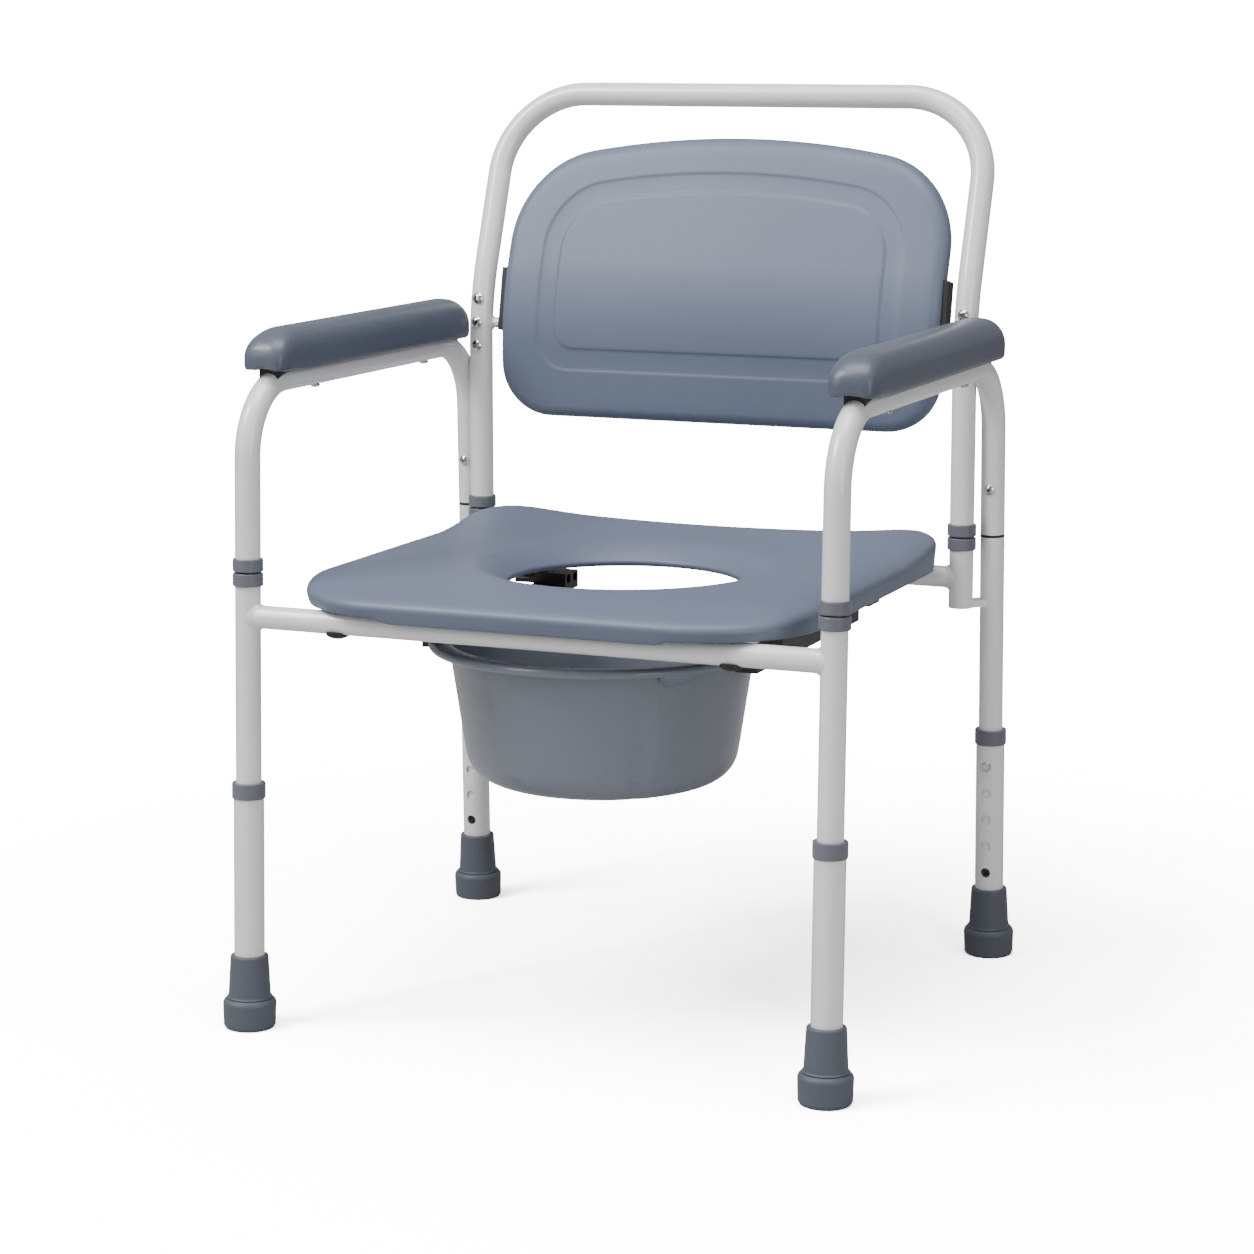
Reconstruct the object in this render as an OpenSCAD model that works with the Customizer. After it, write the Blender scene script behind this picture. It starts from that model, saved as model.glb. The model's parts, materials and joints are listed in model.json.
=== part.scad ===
// Commode chair: welded seat frame, height-adjustable legs, bolted arm loops, lift-off back hoop,
// moulded seat with a round opening, and a pail that slides on two rails below it.
// +Z is up, the front of the chair faces -Y, left is -X. The origin is on the floor,
// at the middle of the chair's bounding box. All lengths are in millimetres.

/* [Frame] */
// Distance between the left and right post axes
post_spacing = 529; // [525:1:535]
// Distance between the front and rear post axes, at the height of the crossbar
post_depth = 444; // [440:1:450]
// Height of the axes of the crossbar and seat rails
crossbar_height = 360.5; // [358:0.5:364]
// Front-to-rear splay of the posts, in degrees from the vertical
splay = 1.7; // [1.4:0.1:1.9]
// Outer diameter of the posts, arm tubes, receivers and hoop
tube_d = 22.2; // [22:0.1:22.3]
// Outer diameter of the crossbar and seat rails
rail_d = 20; // [19:0.5:20]
// Wall of every steel tube
tube_wall = 1.5; // [1.3:0.1:1.5]
// Height of the joints where the arms and the hoop plug into the frame
joint_height = 398.5; // [396:0.5:400]

/* [Legs] */
// Outer diameter of the lower leg tubes, which slide over the posts
leg_d = 26.5; // [26.4:0.1:27]
// Height of the top of the leg collars
collar_top = 216; // [214:1:218]
// Outer diameter of the leg collars
collar_d = 29.2; // [29:0.1:31]
// Distance between the adjusting holes
hole_pitch = 25.4; // [24:0.1:25.4]
// Diameter of the adjusting holes
hole_d = 9; // [8.8:0.1:9.4]
// Diameter of the rubber feet
foot_d = 46.4; // [44:0.2:50]
// Height of the rubber feet
foot_h = 64; // [62:1:66]

/* [Arms] */
// Height of the axis of the arm tubes
arm_height = 558; // [556:1:570]
// Bend radius of the arm tubes
arm_bend = 64; // [58:1:70]
// Width of an arm pad
pad_w = 44; // [42:1:45]
// Height of an arm pad's top
pad_top = 603; // [602:1:606]
// Length of an arm pad
pad_l = 376; // [370:1:377]

/* [Back] */
// Distance between the axes of the hoop's uprights
hoop_spacing = 483; // [480:1:484]
// Height of the hoop's top axis
hoop_top = 794; // [785:1:800]
// Backward lean of the upper hoop, in degrees
hoop_lean = 20.5; // [18:0.5:21]
// Width of the backrest panel
panel_w = 436; // [432:1:438]
// Height of the panel's lower edge
panel_low = 491; // [488:1:496]
// Height of the panel's crown
panel_high = 754; // [748:1:756]

/* [Seat] */
// Width of the seat
seat_w = 464; // [458:1:468]
// Length of the seat
seat_l = 452; // [450:1:454]
// Height of the seat's top face
seat_top = 396; // [394:1:400]
// Diameter of the opening, at its foot
opening_d = 206; // [200:1:212]
// Diameter of the opening's funnel, at the seat's top face
funnel_d = 254; // [248:1:258]

/* [Pail] */
// Diameter of the pail's rim
pail_d = 302; // [298:1:303]
// Height of the pail
pail_h = 123; // [114:1:130]

/* [Hidden] */
$fn = 64;

LEFT = -1;
RIGHT = 1;
FRONT = -1;
REAR = 1;
SIDES = [LEFT, RIGHT];
ROWS = [FRONT, REAR];

COAT = [0.86, 0.86, 0.84];
BLUE_GREY = [0.44, 0.50, 0.60];
RING_GREY = [0.36, 0.40, 0.47];
RUBBER_GREY = [0.29, 0.33, 0.39];
BLACK = [0.08, 0.08, 0.09];
STEEL = [0.75, 0.75, 0.76];

tube_r = tube_d / 2;
bore_r = tube_r - tube_wall;
rail_r = rail_d / 2;
post_x = post_spacing / 2;
hoop_x = hoop_spacing / 2;
// The receivers stand this far in front of the rear posts' axes
receiver_set = 22;
// Play left between parts that slide on each other, and open gap at each plug joint
slide_play = 0.05;
joint_gap = 1.2;
// Blades that cut past a face reach this far beyond it
over = 1;
// Lap and step between the straight and the bent stretches of a tube
bend_lap = 0.6;
bend_thinning = 0.05;

// The hoop bends back here, on this radius, and its top corners turn on the corner radius
hoop_bend_z = 556;
hoop_bend_r = 230;
hoop_corner = 80;
hoop_bend_rise = hoop_bend_r * sin(hoop_lean);
hoop_bend_set = hoop_bend_r * (1 - cos(hoop_lean));
hoop_top_set = hoop_bend_set + tan(hoop_lean) * (hoop_top - hoop_bend_z - hoop_bend_rise);

// Reach of the feet in front of the front axis, and of the hoop behind it
front_reach = foot_d / 2 + crossbar_height * tan(splay);
back_reach = post_depth - receiver_set + hoop_top_set + tube_r;
front_y = (front_reach - back_reach) / 2;
rear_y = front_y + post_depth;
hoop_y = rear_y - receiver_set;

// Heights of the collars' lower edge, the snap buttons and the posts' lower ends
collar_h = 14;
button_z = collar_top - 33.8;
post_low = 93;
hole_count = 5;
leg_low = 8;

ring_h = 11.3;
ring_flange = 1;
ring_r = 13.2;

// M5 and M6 button-head screws: radius of the shank, radius and height of the head
M5 = [2.5, 4.75, 2.8];
M6 = [3, 5.2, 3.2];

// Depth of front axis at a height, and of the rear axis
function post_y(row, z) = row == FRONT
  ? front_y + tan(splay) * (z - crossbar_height)
  : rear_y - tan(splay) * (z - crossbar_height);
// Set-back of the hoop's axis at a height in the bent stretch
function hoop_angle(z) = asin(min(max(z - hoop_bend_z, 0), hoop_bend_rise) / hoop_bend_r);
// Points of an arc from one angle to another
function arc(x, y, r, from, to, steps = 6) =
  [for (i = [0:1:steps]) let (a = from + (to - from) * i / steps) [x + r * cos(a), y + r * sin(a)]];

// A bar along a path that starts at the origin along +Z. A step is [length], or
// [bend radius, angle, direction], where direction 0 bends towards +X and 90 towards +Y.
// A bent stretch is a hair thinner, and the straight ones reach a little way over it.
module bar(r, steps, lead = 0) {
  if (len(steps) > 0) {
    step = steps[0];
    rest = [for (i = [1:1:len(steps) - 1]) steps[i]];
    if (len(step) == 1) {
      translate([0, 0, -lead]) cylinder(h = step[0] + lead + (len(rest) > 0 ? bend_lap : 0), r = r);
      translate([0, 0, step[0]]) bar(r, rest);
    } else {
      rotate([0, 0, step[2]]) {
        translate([step[0], 0, 0])
          rotate([0, 0, 180])
            rotate([90, 0, 0])
              rotate_extrude(angle = step[1])
                translate([step[0], 0]) circle(r = r - bend_thinning);
        translate([step[0] * (1 - cos(step[1])), 0, step[0] * sin(step[1])])
          rotate([0, step[1], 0]) bar(r, rest, bend_lap);
      }
    }
  }
}

// A hollow tube along a path, open at both ends. The path starts and ends straight.
module tube(r, wall, steps) {
  last = len(steps) - 1;
  bore_steps = [for (i = [0:1:last]) i == last && len(steps[i]) == 1 ? [steps[i][0] + over] : steps[i]];
  difference() {
    bar(r, steps);
    bar(r - wall, bore_steps, over);
  }
}

// A plain ring or pipe along +Z
module pipe(r, bore, h) {
  difference() {
    cylinder(h = h, r = r);
    translate([0, 0, -over]) cylinder(h = h + 2 * over, r = bore);
  }
}

// Children drawn once on the right and mirrored to the left
module both_sides() {
  children();
  mirror([1, 0, 0]) children();
}

// Children placed on one side only
module on_side(side) {
  if (side == RIGHT) children();
  else mirror([1, 0, 0]) children();
}

// Children drawn around a post's axis, with heights measured from the floor along it
module on_post(side, row) {
  translate([side * post_x, row == FRONT ? front_y : rear_y, crossbar_height])
    rotate([row * splay, 0, 0])
      translate([0, 0, -crossbar_height]) children();
}

// Turns children that point along +Z towards the side of a post that carries its button:
// the front posts' buttons face the rear, and the rear posts' buttons face the front
module facing(row) {
  rotate([row == FRONT ? -90 : 90, 0, 0]) children();
}

// Button-head screw along +Z: the head's bearing face is at the origin, and the head is below it
module button_screw(size, length) {
  difference() {
    union() {
      cylinder(h = length, r = size[0]);
      intersection() {
        translate([0, 0, -size[2]]) cylinder(h = size[2], r = size[1]);
        translate([0, 0, size[1] * 0.75 - 0.1]) sphere(r = size[1] * 1.35);
      }
    }
    translate([0, 0, -size[2] - over]) cylinder(h = size[2] * 0.6 + over, r = size[0] * 0.78, $fn = 6);
  }
}

// Domed cap nut along +Z, seated on the origin
module cap_nut(size) {
  difference() {
    union() {
      cylinder(h = size[0] * 1.3, r = size[0] * 1.9, $fn = 6);
      translate([0, 0, size[0] * 1.3]) sphere(r = size[0] * 1.35);
    }
    translate([0, 0, -over]) cylinder(h = size[0] * 1.5 + over, r = size[0]);
    translate([0, 0, -size[0] * 3]) cube(size[0] * 6, center = true);
  }
}

// ---------------------------------------------------------------- welded seat frame

module front_crossbar() {
  color(COAT)
    difference() {
      translate([-post_x, front_y, crossbar_height])
        rotate([0, 90, 0]) tube(rail_r, tube_wall, [[post_spacing]]);
      for (side = SIDES) on_post(side, FRONT) cylinder(h = 2 * crossbar_height, r = tube_r);
      for (side = SIDES)
        translate([side * seat_screw_x_front, front_y, crossbar_height - 2 * rail_r])
          cylinder(h = 4 * rail_r, r = M5[0]);
    }
}

// Each rail leaves the hoop receiver inwards, bends forward and meets the crossbar
rail_x = 160;
rail_bend = 38;
seat_screw_x_front = 178;
seat_screw_y_front = front_y;
seat_screw_y_rear = front_y + 338;

module seat_rail(side) {
  color(COAT)
    on_side(side)
      difference() {
        translate([hoop_x, hoop_y, crossbar_height])
          rotate([0, -90, 0])
            tube(rail_r, tube_wall, [
              [hoop_x - rail_x - rail_bend],
              [rail_bend, 90, -90],
              [hoop_y - front_y - rail_bend]
            ]);
        translate([hoop_x, hoop_y, 0]) cylinder(h = 2 * crossbar_height, r = tube_r);
        translate([0, front_y, crossbar_height]) rotate([0, 90, 0]) cylinder(h = post_x, r = rail_r);
        translate([rail_x, seat_screw_y_rear, crossbar_height - 2 * rail_r])
          cylinder(h = 4 * rail_r, r = M5[0]);
      }
}

module post(side, row) {
  top = row == FRONT
    ? joint_height - joint_gap / 2 - ring_flange
    : joint_height - joint_gap;
  color(COAT)
    on_post(side, row)
      difference() {
        translate([0, 0, post_low]) pipe(tube_r, bore_r, top - post_low);
        translate([0, 0, button_z]) facing(row) cylinder(h = 2 * tube_r, r = hole_d / 2);
      }
}

// Stub tubes that the hoop plugs into
receiver_low = 333;

module hoop_receiver(side) {
  color(COAT)
    translate([side * hoop_x, hoop_y, receiver_low])
      pipe(tube_r, bore_r, joint_height - joint_gap / 2 - ring_flange - receiver_low);
}

// Plates that tie the receivers' lower ends to the rear posts
plate_h = 6.5;
plate_w = 14;

module receiver_link_plates() {
  plate_y = post_y(REAR, receiver_low);
  reach = norm([post_x - hoop_x, plate_y - hoop_y]);
  turn = atan2(plate_y - hoop_y, post_x - hoop_x);
  color(COAT)
    both_sides()
      difference() {
        translate([hoop_x, hoop_y, receiver_low])
          rotate([0, 0, turn])
            translate([0, -plate_w / 2, 0]) cube([reach, plate_w, plate_h]);
        translate([hoop_x, hoop_y, 0]) cylinder(h = 2 * receiver_low, r = tube_r);
        on_post(RIGHT, REAR) cylinder(h = 2 * receiver_low, r = tube_r);
      }
}

// ---------------------------------------------------------------- plug joints

// Plastic ring over a tube's end, its flange at the origin and its sleeve along +Z
module end_ring() {
  rim = 1.2;
  difference() {
    rotate_extrude()
      polygon(concat(
        [[0, 0]],
        arc(ring_r - rim, rim, rim, -90, 0, 4),
        arc(ring_r - rim, ring_h - rim, rim, 0, 90, 4),
        [[0, ring_h]]
      ));
    translate([0, 0, ring_flange]) cylinder(h = ring_h, r = tube_r);
    translate([0, 0, -over]) cylinder(h = ring_h, r = bore_r);
  }
}

module tube_end_rings() {
  color(RING_GREY)
    for (side = SIDES) {
      on_post(side, FRONT) {
        translate([0, 0, joint_height - joint_gap / 2]) mirror([0, 0, 1]) end_ring();
        translate([0, 0, joint_height + joint_gap / 2]) end_ring();
      }
      translate([side * hoop_x, hoop_y, joint_height - joint_gap / 2]) mirror([0, 0, 1]) end_ring();
    }
}

// Thin black washers between the arms' rear ends and the rear posts
module rear_joint_washers() {
  color(BLACK)
    for (side = SIDES)
      on_post(side, REAR)
        translate([0, 0, joint_height - joint_gap]) pipe(tube_r, bore_r, 2 * joint_gap);
}

spigot_r = bore_r - slide_play;
arm_bolt_z = joint_height + 43.5;

module arm_front_spigots() {
  color(STEEL)
    for (side = SIDES)
      on_post(side, FRONT)
        translate([0, 0, joint_height - 28]) pipe(spigot_r, spigot_r - tube_wall, 66);
}

module arm_rear_spigots() {
  color(STEEL)
    for (side = SIDES)
      on_post(side, REAR)
        difference() {
          translate([0, 0, joint_height - 50]) pipe(spigot_r, spigot_r - tube_wall, 108);
          translate([0, 0, arm_bolt_z])
            rotate([90, 0, 0]) cylinder(h = 4 * tube_r, r = M5[0], center = true);
        }
}

// ---------------------------------------------------------------- arm loops

arm_turn = 90 - splay;
arm_tangent = arm_bend * tan(arm_turn / 2);
arm_low_front = joint_height + joint_gap / 2 + ring_flange;
arm_low_rear = joint_height + joint_gap;
arm_steps = [
  [(arm_height - arm_low_front) / cos(splay) - arm_tangent],
  [arm_bend, arm_turn, 90],
  [post_y(REAR, arm_height) - post_y(FRONT, arm_height) - 2 * arm_tangent],
  [arm_bend, arm_turn, 0],
  [(arm_height - arm_low_rear) / cos(splay) - arm_tangent]
];
// Depths of the two screws that hold a pad, and the length of their shanks
pad_screw_y = [front_y + 127, front_y + 343];
pad_screw_l = 34;
pad_front_y = front_y + 30;

// Children drawn from the lower front end of an arm tube
module at_arm_start() {
  translate([post_x, post_y(FRONT, arm_low_front), arm_low_front])
    rotate([-splay, 0, 0]) children();
}

module arm_screw_bores(r) {
  for (y = pad_screw_y)
    translate([post_x, y, arm_height - 2 * tube_r]) cylinder(h = tube_r + pad_screw_l + over, r = r);
}

module arm_tube(side) {
  color(COAT)
    on_side(side)
      difference() {
        at_arm_start() tube(tube_r, tube_wall, arm_steps);
        arm_screw_bores(M5[0]);
        on_post(RIGHT, REAR)
          translate([0, 0, arm_bolt_z])
            rotate([90, 0, 0]) cylinder(h = 4 * tube_r, r = M5[0], center = true);
      }
}

// Rigid plastic strip between the tube and the pad, saddled on the tube and on its front bend
base_w = 18;
base_top = 574;

module pad_base_block() {
  translate([post_x - base_w / 2, pad_front_y + 13, arm_height])
    cube([base_w, pad_l - 20, base_top - arm_height]);
}

module arm_pad_base(side) {
  color(BLACK)
    on_side(side)
      difference() {
        pad_base_block();
        at_arm_start() bar(tube_r, arm_steps);
        arm_screw_bores(M5[0]);
      }
}

pad_low = 564.5;
pad_corner = 17;

module arm_pad(side) {
  color(RUBBER_GREY)
    on_side(side)
      difference() {
        translate([post_x, pad_front_y + pad_l, 0])
          rotate([90, 0, 0])
            linear_extrude(pad_l)
              union() {
                translate([-pad_w / 2, pad_low]) square([pad_w, pad_top - pad_low - pad_corner]);
                translate([-pad_w / 2 + pad_corner, pad_low])
                  square([pad_w - 2 * pad_corner, pad_top - pad_low]);
                for (s = SIDES)
                  translate([s * (pad_w / 2 - pad_corner), pad_top - pad_corner]) circle(r = pad_corner);
              }
        pad_base_block();
        at_arm_start() bar(tube_r, arm_steps);
        translate([post_x, pad_front_y - over, arm_height])
          rotate([-90, 0, 0]) cylinder(h = 60, r = tube_r + 2);
        arm_screw_bores(M5[0]);
      }
}

module arm_pad_screws() {
  color(STEEL)
    both_sides()
      for (y = pad_screw_y)
        translate([post_x, y, arm_height - tube_r]) button_screw(M5, pad_screw_l);
}

module arm_bolts() {
  color(STEEL)
    both_sides()
      on_post(RIGHT, REAR)
        translate([0, 0, arm_bolt_z])
          rotate([-90, 0, 0]) {
            translate([0, 0, -tube_r]) button_screw(M5, 2 * tube_r + M5[0]);
            translate([0, 0, tube_r]) cap_nut(M5);
          }
}

// ---------------------------------------------------------------- seat

seat_front_y = front_y - 27;
seat_low = 372;
seat_wall = 4;
seat_corner_front = 94;
seat_corner_rear = 56;
seat_plate = 5;
opening_y = front_y + 200;
funnel_h = 18;
skirt_w = 250;
skirt_low = 367.5;

// Outline of the seat, drawn smaller by an inset
module seat_outline(inset) {
  half = seat_w / 2 - inset;
  low = seat_front_y + inset;
  high = seat_front_y + seat_l - inset;
  rf = seat_corner_front - inset;
  rr = seat_corner_rear - inset;
  union() {
    translate([-half, low + rf]) square([2 * half, high - low - rf - rr]);
    translate([-half + rf, low]) square([2 * (half - rf), rf + over]);
    translate([-half + rr, high - rr - over]) square([2 * (half - rr), rr + over]);
    for (s = SIDES) {
      translate([s * (half - rf), low + rf]) circle(r = rf);
      translate([s * (half - rr), high - rr]) circle(r = rr);
    }
  }
}

module seat_bosses(r) {
  for (s = SIDES) {
    translate([s * seat_screw_x_front, seat_screw_y_front, 0]) cylinder(h = seat_top - over, r = r);
    translate([s * rail_x, seat_screw_y_rear, 0]) cylinder(h = seat_top - over, r = r);
  }
}

module seat() {
  boss_low = crossbar_height + rail_r + 0.1;
  color(BLUE_GREY)
    difference() {
      union() {
        translate([0, 0, seat_low]) linear_extrude(seat_top - seat_low) seat_outline(0);
        translate([-skirt_w / 2, seat_front_y, skirt_low])
          cube([skirt_w, seat_wall, seat_low - skirt_low + over]);
        intersection() {
          seat_bosses(8);
          translate([-seat_w, front_y - 50, boss_low]) cube([2 * seat_w, seat_l, over + seat_low - boss_low]);
        }
      }
      difference() {
        translate([0, 0, seat_low - over])
          linear_extrude(seat_top - seat_plate - seat_low + over) seat_outline(seat_wall);
        translate([0, opening_y, 0]) cylinder(h = seat_top, r = opening_d / 2 + seat_wall);
        translate([0, opening_y, seat_top - funnel_h])
          cylinder(h = funnel_h, r1 = opening_d / 2 + seat_wall, r2 = funnel_d / 2 + seat_wall);
        seat_bosses(8);
      }
      translate([0, opening_y, seat_top - funnel_h])
        cylinder(h = funnel_h + 0.01, r1 = opening_d / 2, r2 = funnel_d / 2);
      translate([0, opening_y, seat_low - over]) cylinder(h = seat_top, r = opening_d / 2);
      translate([0, 0, -10]) seat_bosses(M5[0]);
    }
}

screw_cap_r = 10.2;
screw_cap_h = 3;

module seat_screw_places() {
  for (s = SIDES) {
    translate([s * seat_screw_x_front, seat_screw_y_front, crossbar_height - rail_r]) children();
    translate([s * rail_x, seat_screw_y_rear, crossbar_height - rail_r]) children();
  }
}

module seat_screws() {
  color(STEEL) seat_screw_places() cylinder(h = seat_top - 11 - crossbar_height + rail_r, r = M5[0]);
}

// Black caps under the tubes, hollowed to the tube they sit on
module seat_screw_caps() {
  color(BLACK)
    difference() {
      seat_screw_places()
        intersection() {
          translate([0, 0, -screw_cap_h]) cylinder(h = 2 * screw_cap_h, r = screw_cap_r);
          translate([0, 0, 14]) sphere(r = 17.6);
        }
      seat_screw_places() cylinder(h = 10, r = M5[0]);
      translate([-post_x, front_y, crossbar_height]) rotate([0, 90, 0]) cylinder(h = post_spacing, r = rail_r);
      for (s = SIDES)
        translate([s * rail_x, front_y, crossbar_height]) rotate([-90, 0, 0]) cylinder(h = 400, r = rail_r);
    }
}

// ---------------------------------------------------------------- pail and its rails

pail_y = front_y + 152;
pail_top = 335;
pail_flange = 7;
pail_wall = 2.6;
pail_body_r = pail_d / 2 - 19;
pail_low = pail_top - pail_h;
// Radius of the pail's foot, and of the round edge above it
pail_foot_r = 91;
pail_edge = 28;

// Right half of the pail's section, drawn smaller by an inset, up to its top
function pail_side(inset) = concat(
  [[0, pail_low + inset]],
  arc(pail_foot_r, pail_low + pail_edge, pail_edge - inset, -90, -8, 10),
  [[pail_body_r - inset, pail_top - pail_flange - 4]]
);

module pail() {
  flange_low = pail_top - pail_flange;
  edge = 2.5;
  color(BLUE_GREY)
    translate([0, pail_y, 0])
      difference() {
        union() {
          rotate_extrude($fn = 96)
            polygon(concat(
              pail_side(0),
              arc(pail_body_r + 4, flange_low - 4, 4, 160, 90, 4),
              arc(pail_d / 2 - edge, flange_low + edge, edge, -90, 0, 4),
              arc(pail_d / 2 - edge, pail_top - edge, edge, 0, 90, 4),
              [[0, pail_top]]
            ));
          pail_grip();
        }
        rotate_extrude($fn = 96)
          polygon(concat(
            pail_side(pail_wall),
            arc(pail_body_r + 3, pail_top - 3, 5.6, 180, 115, 4),
            [[pail_body_r + 3, pail_top + over], [0, pail_top + over]]
          ));
      }
}

// Wedge-shaped finger grip under the rim, at the front right, open at one end
module pail_grip() {
  span = 19;
  wall = 2;
  high = pail_top - pail_flange + 0.5;
  drop = 17;
  rotate([0, 0, -37 - span / 2])
    difference() {
      rotate_extrude(angle = span)
        polygon([
          [pail_body_r - 2, high - drop], [pail_body_r + 3, high - drop],
          [pail_d / 2 - 1.5, high], [pail_body_r - 2, high]
        ]);
      rotate([0, 0, -over])
        rotate_extrude(angle = span)
          polygon([
            [pail_body_r + 1, high - drop + wall + 2], [pail_body_r + 2, high - drop + wall + 2],
            [pail_d / 2 - 2 - wall, high - wall], [pail_body_r + 1, high - wall]
          ]);
    }
}

// Rail section: a ledge under the pail's rim and a web beside it
web_in = 153.2;
web_t = 3.5;
web_low = 321;
web_high = 350.4;
ledge_in = 137;
ledge_t = 6.6;
pail_rail_y = front_y + 116;
pail_rail_l = 268;
hanger_y = [front_y + 125, front_y + 354];
hanger_l = 30;
hanger_low = 340;
hanger_high = 352;
hanger_out = 176;
// Block at a rail's rear end, which stops the pail
stop_in = 124;
stop_low = 334;
rivet_z = 345;
rivet_r = 2;
rivet_head_r = 3.6;

module rivet_bores() {
  for (y = hanger_y, k = [0.25, 0.75])
    translate([web_in - over, y + k * hanger_l, rivet_z])
      rotate([0, 90, 0]) cylinder(h = 20, r = rivet_r);
}

module pail_rail(side) {
  color(BLACK)
    on_side(side)
      difference() {
        union() {
          translate([web_in, pail_rail_y, web_low]) cube([web_t, pail_rail_l, hanger_low - web_low]);
          for (y = hanger_y) translate([web_in, y, web_low]) cube([web_t, hanger_l, web_high - web_low]);
          translate([ledge_in, pail_rail_y, web_low]) cube([web_in + web_t - ledge_in, pail_rail_l, ledge_t]);
          translate([stop_in, hanger_y[1], stop_low])
            cube([web_in + web_t - stop_in, hanger_l, web_high - stop_low]);
        }
        rivet_bores();
        for (k = [0.25, 0.75])
          translate([stop_in - over, hanger_y[1] + k * hanger_l, rivet_z])
            rotate([0, 90, 0]) cylinder(h = web_in - stop_in + over, r = rivet_head_r + 0.6);
      }
}

// Blocks that carry the rails, saddled on the seat rails
module pail_rail_hangers() {
  color(BLACK)
    both_sides()
      difference() {
        for (y = hanger_y)
          translate([web_in + web_t, y, hanger_low])
            cube([hanger_out - web_in - web_t, hanger_l, hanger_high - hanger_low]);
        translate([rail_x, front_y, crossbar_height]) rotate([-90, 0, 0]) cylinder(h = 400, r = rail_r);
        rivet_bores();
      }
}

module pail_rail_rivets() {
  color(STEEL)
    both_sides()
      for (y = hanger_y, k = [0.25, 0.75])
        translate([web_in, y + k * hanger_l, rivet_z])
          rotate([0, 90, 0]) {
            cylinder(h = 16, r = rivet_r);
            intersection() {
              translate([0, 0, -1.6]) cylinder(h = 1.6, r = rivet_head_r);
              translate([0, 0, 3.2]) sphere(r = 4.8);
            }
          }
}

// ---------------------------------------------------------------- back hoop, its own body

hoop_start = joint_height + joint_gap / 2 + ring_flange;
hoop_side_l = (hoop_top - hoop_bend_z - hoop_bend_rise) / cos(hoop_lean) - hoop_corner;
hoop_steps = [
  [hoop_bend_z - hoop_start],
  [hoop_bend_r, hoop_lean, 90],
  [hoop_side_l],
  [hoop_corner, 90, 90],
  [hoop_spacing - 2 * hoop_corner],
  [hoop_corner, 90, 0],
  [hoop_side_l],
  [hoop_bend_r, hoop_lean, -90],
  [hoop_bend_z - hoop_start]
];
// Three bolts on each upright, and the crossbar at the middle one
back_bolt_z = [556, 577.5, 599];
back_bar_r = 5;
back_bar_set = 4;

// Children drawn at a height on an upright, turned with its bend. +Y there points to the rear.
module on_upright(side, z) {
  translate([side * hoop_x, hoop_y + hoop_bend_r, hoop_bend_z])
    rotate([-hoop_angle(z), 0, 0])
      translate([0, -hoop_bend_r, 0]) children();
}

module back_bolt_bores(r) {
  for (side = SIDES, z = back_bolt_z)
    on_upright(side, z) rotate([90, 0, 0]) cylinder(h = 4 * tube_r, r = r, center = true);
}

module hoop() {
  color(COAT)
    difference() {
      translate([hoop_x, hoop_y, hoop_start]) tube(tube_r, tube_wall, hoop_steps);
      back_bolt_bores(M6[0]);
    }
}

module hoop_spigots() {
  color(STEEL)
    for (side = SIDES)
      translate([side * hoop_x, hoop_y, joint_height - 58]) pipe(spigot_r, spigot_r - tube_wall, 98);
}

module hoop_end_rings() {
  color(RING_GREY)
    for (side = SIDES)
      translate([side * hoop_x, hoop_y, joint_height + joint_gap / 2]) end_ring();
}

// Sleeves inside the uprights, where the bolts and the back crossbar load them
module hoop_stiffeners() {
  low = 14;
  color(STEEL)
    difference() {
      for (side = SIDES)
        translate([side * hoop_x, hoop_y, hoop_bend_z - low])
          tube(spigot_r, tube_wall, [[low], [hoop_bend_r, 14.5, 90]]);
      back_bolt_bores(M6[0]);
    }
}

back_bar_y = hoop_y + hoop_bend_r * (1 - cos(hoop_angle(back_bolt_z[1]))) + back_bar_set;

module back_bar(r) {
  translate([-hoop_x, back_bar_y, back_bolt_z[1]]) rotate([0, 90, 0]) cylinder(h = hoop_spacing, r = r);
}

module back_crossbar() {
  color(COAT)
    difference() {
      back_bar(back_bar_r);
      translate([hoop_x, hoop_y, hoop_start]) bar(tube_r, hoop_steps);
    }
}

module back_bolts() {
  color(STEEL)
    for (side = SIDES, z = back_bolt_z)
      on_upright(side, z)
        rotate([-90, 0, 0]) {
          translate([0, 0, -tube_r]) button_screw(M6, 2 * tube_r + M6[0]);
          translate([0, 0, tube_r]) cap_nut(M6);
        }
}

// ---------------------------------------------------------------- backrest panel

panel_t = 20;
panel_wall = 4;
panel_corner_low = 50;
panel_corner_high = 88;
panel_crown = 830;

// Side view of a slab that follows the hoop's bend, between two set-backs from its axis
module back_slab(near, far) {
  turns = 24;
  top_l = 200;
  lean_line = [sin(hoop_lean), cos(hoop_lean)];
  near_arc = arc(hoop_bend_r, hoop_bend_z, hoop_bend_r - near, 180, 180 - hoop_lean, turns);
  far_arc = arc(hoop_bend_r, hoop_bend_z, hoop_bend_r - far, 180 - hoop_lean, 180, turns);
  polygon(concat(
    [[near, panel_low - 60]],
    near_arc,
    [near_arc[turns] + top_l * lean_line, far_arc[0] + top_l * lean_line],
    far_arc,
    [[far, panel_low - 60]]
  ));
}

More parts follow.
